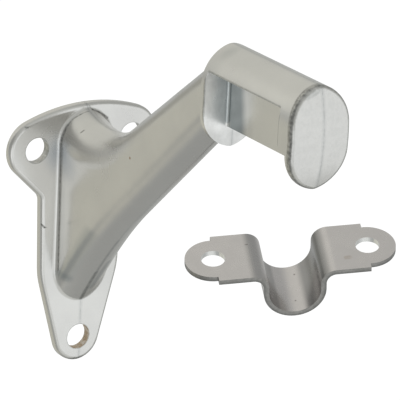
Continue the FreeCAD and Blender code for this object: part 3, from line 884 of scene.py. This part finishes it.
        in_hole = add_math(tree, "LESS_THAN", reach, add_math(tree, "MULTIPLY", size["Hole Radius"], 1.1))
        marked = punched.outputs["Mesh"]
        on_wall = add_math(tree, "MULTIPLY", is_side, in_hole)
        for name, kind, domain, value in (
            ("cut_edge", "BOOLEAN", "FACE", is_side),
            ("punched", "BOOLEAN", "FACE", on_wall),
            ("along", "FLOAT", "POINT", flat.outputs["X"]),
            ("through", "FLOAT", "POINT", flat.outputs["Z"]),
        ):
            keep = add_node(tree, "GeometryNodeStoreNamedAttribute", data_type=kind, domain=domain)
            keep.inputs["Name"].default_value = name
            tree.links.new(marked, keep.inputs["Geometry"])
            tree.links.new(value, keep.inputs["Value"])
            marked = keep.outputs["Geometry"]
        return marked

    def _discs(self, tree: Tree, radius: Socket, height: Socket,
               at: Socket, corners: int) -> Socket:
        """Make a round disc at each end of the blank.

        Args:
            tree: The strap's tree.
            radius: Radius of the discs.
            height: Their height, half to each side of the sheet's middle.
            at: How far from the blank's middle they stand.
            corners: Corners in a round.

        Returns:
            The two discs in one mesh.
        """
        disc = add_node(tree, "GeometryNodeMeshCylinder")
        disc.inputs["Vertices"].default_value = corners
        tree.links.new(radius, disc.inputs["Radius"])
        tree.links.new(height, disc.inputs["Depth"])
        pair = add_node(tree, "GeometryNodeJoinGeometry")
        for side in (-1.0, 1.0):
            way = add_node(tree, "ShaderNodeCombineXYZ")
            tree.links.new(add_math(tree, "MULTIPLY", at, side), way.inputs["X"])
            moved = add_node(tree, "GeometryNodeTransform")
            tree.links.new(disc.outputs["Mesh"], moved.inputs["Geometry"])
            tree.links.new(way.outputs["Vector"], moved.inputs["Translation"])
            tree.links.new(moved.outputs["Geometry"], pair.inputs["Geometry"])
        return pair.outputs["Geometry"]

    def _bend(self, tree: Tree, blank: Socket, path: Socket,
              half_length: Socket) -> Socket:
        """Bend the blank along the path.

        Args:
            tree: The strap's tree.
            blank: The flat blank.
            path: The path of the sheet's middle.
            half_length: Half its length.

        Returns:
            The bent strap.
        """
        flat = add_node(tree, "ShaderNodeSeparateXYZ")
        tree.links.new(add_node(tree, "GeometryNodeInputPosition").outputs["Position"], flat.inputs["Vector"])
        on_path = add_node(tree, "GeometryNodeSampleCurve", mode="LENGTH")
        tree.links.new(path, on_path.inputs["Curves"])
        tree.links.new(add_math(tree, "ADD", flat.outputs["X"], half_length), on_path.inputs["Length"])
        outward = add_node(tree, "ShaderNodeVectorMath", operation="CROSS_PRODUCT")
        tree.links.new(on_path.outputs["Tangent"], outward.inputs[0])
        outward.inputs[1].default_value = (0.0, 1.0, 0.0)
        lift = add_node(tree, "ShaderNodeVectorMath", operation="SCALE")
        tree.links.new(outward.outputs["Vector"], lift.inputs[0])
        tree.links.new(flat.outputs["Z"], lift.inputs["Scale"])
        aside = add_node(tree, "ShaderNodeCombineXYZ")
        tree.links.new(flat.outputs["Y"], aside.inputs["Y"])
        at = add_node(tree, "ShaderNodeVectorMath", operation="ADD")
        tree.links.new(on_path.outputs["Position"], at.inputs[0])
        tree.links.new(lift.outputs["Vector"], at.inputs[1])
        there = add_node(tree, "ShaderNodeVectorMath", operation="ADD")
        tree.links.new(at.outputs["Vector"], there.inputs[0])
        tree.links.new(aside.outputs["Vector"], there.inputs[1])
        bent = add_node(tree, "GeometryNodeSetPosition")
        tree.links.new(blank, bent.inputs["Geometry"])
        tree.links.new(there.outputs["Vector"], bent.inputs["Position"])
        return bent.outputs["Geometry"]


@dataclass
class Studio:
    """Floor, world and lamps."""

    floor_z: float = -0.80
    floor_half: float = 6.0
    ambient: float = 0.5

    def build(self) -> None:
        """Set up everything round the bracket."""
        self._world()
        self._floor()
        self._lamps()

    def _world(self) -> None:
        """White to the camera and to reflections, softer to diffuse light."""
        world = bpy.data.worlds.new("studio")
        bpy.context.scene.world = world
        world.use_nodes = True
        tree = world.node_tree
        background = tree.nodes["Background"]
        background.inputs["Color"].default_value = (1.0, 1.0, 1.0, 1.0)
        path = add_node(tree, "ShaderNodeLightPath")
        seen = self._any_of(tree, path, ("Is Camera Ray", "Is Glossy Ray", "Is Transmission Ray"))
        strength = add_node(tree, "ShaderNodeMapRange")
        strength.inputs["To Min"].default_value = self.ambient
        tree.links.new(seen, strength.inputs["Value"])
        tree.links.new(strength.outputs["Result"], background.inputs["Strength"])

    def _any_of(self, tree: Tree, path: Node,
                kinds: tuple[str, ...]) -> Socket:
        """Largest of several Light Path outputs.

        Args:
            tree: The tree that takes the nodes.
            path: The Light Path node.
            kinds: Names of its outputs.

        Returns:
            A socket that is 1 where the ray is of any of the kinds.
        """
        socket = path.outputs[kinds[0]]
        for kind in kinds[1:]:
            socket = add_math(tree, "MAXIMUM", socket, path.outputs[kind])
        return socket

    def _floor(self) -> None:
        """A pale floor well below the bracket, white to the camera where nothing shades it."""
        mesh = bpy.data.meshes.new("floor")
        half = self.floor_half
        corners = [(-half, -half), (half, -half), (half, half), (-half, half)]
        mesh.from_pydata([(x, y, self.floor_z) for x, y in corners], [], [(0, 1, 2, 3)])
        floor = bpy.data.objects.new("floor", mesh)
        bpy.context.scene.collection.objects.link(floor)
        material = bpy.data.materials.new("floor_white")
        material.use_nodes = True
        tree = material.node_tree
        shader = tree.nodes["Principled BSDF"]
        shader.inputs["Base Color"].default_value = (0.9, 0.9, 0.9, 1.0)
        shader.inputs["Roughness"].default_value = 0.9
        shader.inputs["Specular IOR Level"].default_value = 0.0
        shader.inputs["Emission Color"].default_value = (1.0, 1.0, 1.0, 1.0)
        path = add_node(tree, "ShaderNodeLightPath")
        seen = self._any_of(tree, path, ("Is Camera Ray", "Is Glossy Ray", "Is Transmission Ray"))
        lift = add_node(tree, "ShaderNodeMapRange")
        lift.inputs["To Max"].default_value = 0.6
        tree.links.new(seen, lift.inputs["Value"])
        tree.links.new(lift.outputs["Result"], shader.inputs["Emission Strength"])
        mesh.materials.append(material)

    def _lamps(self) -> None:
        """Two soft lamps: one high in front of the plate, one high at the back."""
        self._lamp("front_lamp", (0.9, 0.5, 0.5), 0.8, 1.0)
        self._lamp("top_lamp", (-0.2, -0.3, 1.1), 0.9, 1.0)

    def _lamp(self, name: str, place: Place, side: float, watts: float) -> None:
        """Add a square soft lamp that points at the bracket.

        Args:
            name: The lamp's name.
            place: Where it stands, in metres.
            side: Length of its side.
            watts: Its power.
        """
        light = bpy.data.lights.new(name, "AREA")
        light.shape = "SQUARE"
        light.size = side
        light.energy = watts
        lamp = bpy.data.objects.new(name, light)
        bpy.context.scene.collection.objects.link(lamp)
        lamp.location = place
        lamp.rotation_euler = (Vector(place) - Vector((0.04, 0.0, 0.0))).to_track_quat("Z", "Y").to_euler()


@dataclass(frozen=True)
class Tent:
    """The light tent round the bracket: only reflections see it."""

    middle: Place = (0.04, 0.0, 0.0)
    radius: float = 0.7
    level: float = 0.52
    panels: tuple[Panel, ...] = (
        Panel(25.0, 40.0, 18.0, 45.0, 0.62, Cast.PLAIN),
        Panel(-162.0, 35.0, 18.0, 42.0, 0.77, Cast.PALE),
        Panel(165.0, 40.0, 15.0, 45.0, 0.68, Cast.PALE),
        Panel(-142.0, -50.0, 20.0, 36.0, 0.58, Cast.WARM),
        Panel(-155.0, -20.0, 14.0, 30.0, 0.59, Cast.WARM),
        Panel(-178.0, 5.0, 4.0, 16.0, 0.36, Cast.WARM),
        Panel(-90.0, 10.0, 20.0, 45.0, 0.36, Cast.PLAIN),
        Panel(-98.0, -55.0, 6.0, 18.0, 0.38, Cast.PLAIN),
        Panel(105.0, -65.0, 22.0, 45.0, 0.39, Cast.PLAIN),
        Panel(0.0, -55.0, 14.0, 32.0, 0.70, Cast.PLAIN),
        Panel(95.0, 30.0, 25.0, 50.0, 0.46, Cast.PLAIN),
        Panel(28.0, -6.0, 22.0, 48.0, 0.97, Cast.COOL),
        Panel(36.0, -20.0, 8.0, 20.0, 0.99, Cast.COOL),
        Panel(-78.0, -20.0, 14.0, 30.0, 0.42, Cast.PLAIN),
        Panel(-34.0, -20.0, 12.0, 27.0, 1.08, Cast.COOL),
    )

    def build(self) -> None:
        """Add the tent with its panels."""
        mesh = bpy.data.meshes.new("tent")
        ball = bmesh.new()
        bmesh.ops.create_uvsphere(ball, u_segments=32, v_segments=16, radius=self.radius)
        bmesh.ops.translate(ball, verts=ball.verts, vec=self.middle)
        ball.to_mesh(mesh)
        ball.free()
        tent = bpy.data.objects.new("tent", mesh)
        bpy.context.scene.collection.objects.link(tent)
        mesh.materials.append(self._paper())
        tent.visible_camera = False
        tent.visible_diffuse = False
        tent.visible_shadow = False

    def _paper(self) -> bpy.types.Material:
        """Make the tent's glowing paper."""
        material = bpy.data.materials.new("tent_paper")
        material.use_nodes = True
        tree = material.node_tree
        tree.nodes.clear()
        place = add_node(tree, "ShaderNodeTexCoord")
        inward = add_node(tree, "ShaderNodeVectorMath", operation="SUBTRACT")
        inward.inputs[1].default_value = self.middle
        tree.links.new(place.outputs["Object"], inward.inputs[0])
        ray = add_node(tree, "ShaderNodeVectorMath", operation="NORMALIZE")
        tree.links.new(inward.outputs["Vector"], ray.inputs[0])
        base = add_node(tree, "ShaderNodeRGB")
        base.outputs[0].default_value = rgba(tuple(self.level * part for part in Cast.PLAIN.value))
        colour = base.outputs[0]
        for panel in self.panels:
            colour = self._lay(tree, ray.outputs["Vector"], colour, panel)
        glow = add_node(tree, "ShaderNodeEmission")
        tree.links.new(colour, glow.inputs["Color"])
        out = add_node(tree, "ShaderNodeOutputMaterial")
        tree.links.new(glow.outputs["Emission"], out.inputs["Surface"])
        return material

    def _lay(self, tree: Tree, ray: Socket, colour: Socket,
             panel: Panel) -> Socket:
        """Lay one panel over the paper.

        Args:
            tree: The tent material's tree.
            ray: Direction from the tent's middle.
            colour: The colour so far.
            panel: The panel to lay.

        Returns:
            The colour with the panel on it.
        """
        nearness = add_node(tree, "ShaderNodeVectorMath", operation="DOT_PRODUCT")
        nearness.inputs[1].default_value = panel.direction()
        tree.links.new(ray, nearness.inputs[0])
        fade = add_node(tree, "ShaderNodeMapRange", interpolation_type="SMOOTHSTEP")
        fade.inputs["From Min"].default_value = math.cos(math.radians(panel.outer))
        fade.inputs["From Max"].default_value = math.cos(math.radians(panel.inner))
        tree.links.new(nearness.outputs["Value"], fade.inputs["Value"])
        mix = add_node(tree, "ShaderNodeMix", data_type="RGBA")
        mix.inputs["B"].default_value = rgba(panel.colour())
        tree.links.new(fade.outputs["Result"], mix.inputs["Factor"])
        tree.links.new(colour, mix.inputs["A"])
        return mix.outputs["Result"]


@dataclass
class PhotoCamera:
    """The camera at the photo's viewing angle."""

    aim: Place = (0.04037, 0.00351, -0.00096)
    azimuth: float = 55.59
    elevation: float = 19.503
    roll: float = 2.659
    distance: float = 0.79856
    lens_px: float = 3944.6
    frame_px: float = 400.0

    def build(self) -> None:
        """Add the camera and make it the scene's own."""
        turn, lift = math.radians(self.azimuth), math.radians(self.elevation)
        back = Vector((math.sin(turn) * math.cos(lift), -math.cos(turn) * math.cos(lift), math.sin(lift)))
        right = Vector((math.cos(turn), math.sin(turn), 0.0))
        up = back.cross(right)
        lean = math.radians(self.roll)
        across = right * math.cos(lean) + up * math.sin(lean)
        upward = up * math.cos(lean) - right * math.sin(lean)
        data = bpy.data.cameras.new("photo_camera")
        data.sensor_width = 36.0
        data.lens = self.lens_px / self.frame_px * data.sensor_width
        data.clip_start = 0.01
        camera = bpy.data.objects.new("photo_camera", data)
        bpy.context.scene.collection.objects.link(camera)
        basis = Matrix((across, upward, back)).transposed().to_4x4()
        camera.matrix_world = Matrix.Translation(Vector(self.aim) + back * self.distance) @ basis
        bpy.context.scene.camera = camera


def main() -> None:
    """Dress the bracket, set the studio and the camera."""
    logging.basicConfig(level=logging.INFO)
    bpy.context.scene.view_settings.view_transform = "Standard"
    Casting().dress()
    Strap().build()
    Studio().build()
    Tent().build()
    PhotoCamera().build()


if __name__ == "__main__":
    main()
